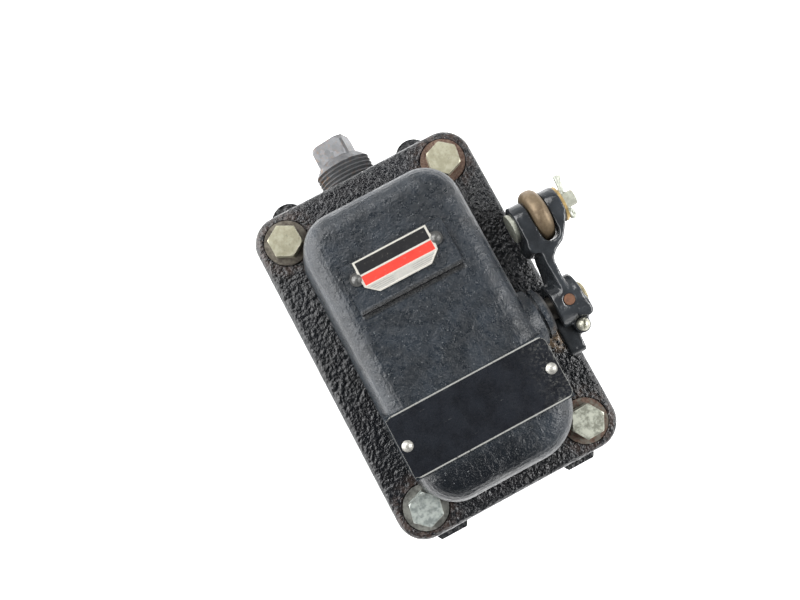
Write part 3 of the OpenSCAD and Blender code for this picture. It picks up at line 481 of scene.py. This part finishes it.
FINISHES = {
    "base_housing": enamel("base_enamel", BLACK, PEBBLE, (0.45 * MM, 0.09 * MM), (0.1, 0.22),
                           wear=0.3, dust=0.03),
    "cover": enamel("cover_enamel", BLACK, PEBBLE, (0.45 * MM, 0.1 * MM), (0.1, 0.22),
                    wear=0.4, dust=0.02, domed=True, seed=50.0),
    "lever_arm": enamel("lever_enamel", (0.02, 0.0225, 0.0255), (2.4 * MM, 0.3 * MM),
                        (0.6 * MM, 0.05 * MM), (0.12, 0.24), wear=0.06, dust=0.02, seed=90.0),
    "cover_bolts": bolt_zinc("bolt_zinc"),
    "cover_washers": washer_rust("washer_rust"),
    "conduit_plug": galvanised("plug_zinc"),
    "nameplate": badge("badge_bands"),
    "lower_plate": black_plate("black_sheet"),
    "nameplate_rivets": plated("rivet_small", (0.14, 0.14, 0.135), (0.03, 0.03, 0.03),
                               metal=0.7, seed=60.0, size=0.8 * MM),
    "lower_plate_rivets": plated("rivet_large", (0.5, 0.49, 0.45), (0.2, 0.19, 0.17),
                                 metal=0.7, seed=63.0, size=0.9 * MM),
    "operating_shaft": dark_shaft("shaft_steel"),
    "shaft_bushing": plated("bushing_brass", (0.1, 0.075, 0.05), (0.03, 0.025, 0.02),
                            metal=0.9, seed=69.0),
    "thrust_washer": plated("thrust_steel", (0.07, 0.07, 0.07), (0.14, 0.1, 0.08),
                            metal=0.5, seed=72.0),
    "shaft_collar": plated("collar_steel", STEEL, OIL_STAIN, metal=0.9, amount=0.3, seed=75.0),
    "collar_screw": plated("collar_screw_steel", STEEL, OIL_STAIN,
                           metal=0.9, amount=0.3, seed=76.0),
    "shaft_cam": plated("cam_steel", STEEL, OIL_STAIN, metal=0.9, amount=0.3, seed=77.0),
    "cam_pin": plated("cam_pin_steel", STEEL, OIL_STAIN, metal=0.9, amount=0.2, seed=78.0),
    "lever_cross_pin": plated("cross_pin_copper", (0.2, 0.1, 0.06), (0.06, 0.04, 0.03),
                              metal=0.6, seed=81.0, size=1.2 * MM),
    "clamp_screw": plated("clamp_zinc", ZINC, (0.25, 0.24, 0.19),
                          metal=0.7, seed=84.0, size=1.0 * MM),
    "roller": plated("roller_bronze", (0.19, 0.14, 0.085), (0.085, 0.055, 0.033), (0.4, 0.56), 0.5,
                     amount=0.6, fine=0.035 * MM, seed=87.0),
    "roller_pin": plated("pin_zinc", (0.44, 0.45, 0.38), (0.26, 0.26, 0.21), (0.42, 0.6),
                         metal=0.5, seed=93.0, size=1.6 * MM),
    "roller_washer": plated("washer_brass", (0.42, 0.3, 0.13), (0.15, 0.1, 0.06),
                            metal=0.8, seed=96.0),
    "cotter_pin": plated("cotter_zinc", (0.55, 0.57, 0.5), (0.24, 0.25, 0.21), metal=0.7, seed=99.0,
                         size=1.0 * MM),
    "contact_block": moulded("phenolic_block", (0.05, 0.022, 0.012), seed=102.0),
    "block_screws": plated("block_screw_steel", STEEL, GREY_STAIN, metal=0.9, seed=105.0),
    "block_cap": plated("cap_brass", BRASS, BRASS_STAIN, metal=0.9, seed=108.0),
    "cap_screws": plated("cap_screw_brass", BRASS, BRASS_STAIN, metal=0.9, seed=111.0),
    "contact_plunger": moulded("nylon_plunger", (0.5, 0.48, 0.4), seed=114.0, fleck=0.1),
    "contact_bridge": plated("bridge_copper", COPPER, COPPER_STAIN, metal=0.9, seed=117.0),
    "bridge_clip": plated("clip_steel", STEEL, OIL_STAIN, metal=0.9, amount=0.2, seed=120.0),
    "plunger_spring": plated("spring_steel", (0.5, 0.5, 0.5), GREY_STAIN, metal=0.95, amount=0.2,
                             seed=123.0),
    "break_contacts": plated("break_copper", COPPER, COPPER_STAIN, metal=0.9, seed=126.0),
    "make_contacts": plated("make_copper", COPPER, COPPER_STAIN, metal=0.9, seed=129.0),
    "terminal_screws": plated("terminal_brass", BRASS, BRASS_STAIN, metal=0.9, seed=132.0),
    "ground_screw": moulded("ground_green", (0.03, 0.2, 0.06), (0.3, 0.42), seed=135.0),
}


def cast_lever():
    """The lever with the soft corners and uneven skin of a casting"""
    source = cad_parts["lever_arm"]
    piece = bpy.data.objects.new("lever_casting", source.data.copy())
    bpy.context.collection.objects.link(piece)
    grid = piece.modifiers.new("grid", "REMESH")
    grid.mode = "VOXEL"
    grid.voxel_size = LEVER_VOXEL
    soft = piece.modifiers.new("soft", "SMOOTH")
    soft.factor = 0.5
    soft.iterations = LEVER_PASSES
    skin = bpy.data.textures.new("casting_skin", "CLOUDS")
    skin.noise_scale = SKIN_SIZE
    lumps = piece.modifiers.new("lumps", "DISPLACE")
    lumps.texture = skin
    lumps.texture_coords = "LOCAL"
    lumps.mid_level = SKIN_MIDDLE
    lumps.strength = SKIN_HEIGHT
    bpy.context.view_layer.update()
    shaped = piece.evaluated_get(bpy.context.evaluated_depsgraph_get())
    mesh = bpy.data.meshes.new_from_object(shaped)
    piece.modifiers.clear()
    piece.data = mesh
    mesh.materials.clear()
    mesh.materials.append(FINISHES["lever_arm"])
    mesh.polygons.foreach_set("use_smooth", [True] * len(mesh.polygons))
    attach(piece, "lever")
    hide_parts("lever_arm")


def soft_spring():
    """A copy of the plunger spring, attached to the housing; it does not shorten with the plunger
    here
    """
    piece = bpy.data.objects.new("spring_coil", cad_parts["plunger_spring"].data.copy())
    bpy.context.collection.objects.link(piece)
    for slot in piece.material_slots:
        slot.material = FINISHES["plunger_spring"]
    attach(piece, "housing")
    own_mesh(piece)
    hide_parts("plunger_spring")


def camera():
    """Looks almost straight down on the cover"""
    data = bpy.data.cameras.new("camera")
    data.lens = LENS
    data.sensor_width = SENSOR
    cam = bpy.data.objects.new("camera", data)
    bpy.context.collection.objects.link(cam)
    cam.location = CAMERA_AT
    cam.rotation_euler = [math.radians(a) for a in CAMERA_TURN]
    bpy.context.scene.camera = cam


def softbox(name, at, size, power):
    light = bpy.data.lights.new(name, "AREA")
    light.shape = "RECTANGLE"
    light.size, light.size_y = size
    light.energy = power
    box = bpy.data.objects.new(name, light)
    bpy.context.collection.objects.link(box)
    box.location = at
    aim = [t - a for t, a in zip(AIM_AT, at)]
    length = math.sqrt(sum(a * a for a in aim))
    box.rotation_euler = (math.acos(-aim[2] / length), 0, math.atan2(aim[1], aim[0]) - math.pi / 2)


def stage():
    """Pale floor, pale sky and soft lights"""
    bpy.ops.mesh.primitive_plane_add(size=FLOOR_SIZE, location=(0, 0, 0))
    floor = bpy.context.object
    floor.name = "floor"
    f = Finish("floor_paper")
    shade = f.mix(f.noise(0.3, 3, 200), (0.88, 0.88, 0.88), (0.9, 0.9, 0.9))
    f.set("Emission Color", (1.0, 1.0, 1.0))
    f.set("Emission Strength", FLOOR_GLOW)
    floor.data.materials.append(f.done(shade, FLOOR_ROUGH))
    world = bpy.data.worlds.new("world")
    world.use_nodes = True
    tree = world.node_tree
    way = tree.nodes.new("ShaderNodeTexCoord")
    split = tree.nodes.new("ShaderNodeSeparateXYZ")
    fade = tree.nodes.new("ShaderNodeMapRange")
    for socket, value in (("From Min", FADE_FROM), ("From Max", FADE_TO),
                          ("To Min", SKY_LOW), ("To Max", SKY_HIGH)):
        fade.inputs[socket].default_value = value
    tree.links.new(way.outputs["Generated"], split.inputs[0])
    tree.links.new(split.outputs[2], fade.inputs["Value"])
    tree.links.new(fade.outputs[0], tree.nodes["Background"].inputs[1])
    tree.nodes["Background"].inputs[0].default_value = SKY_COLOR
    bpy.context.scene.world = world
    bpy.context.scene.view_settings.view_transform = "Standard"
    for light in LIGHTS:
        softbox(*light)


camera()
stage()
for name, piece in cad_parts.items():
    for slot in piece.material_slots:
        slot.material = FINISHES[name]
cast_lever()
soft_spring()
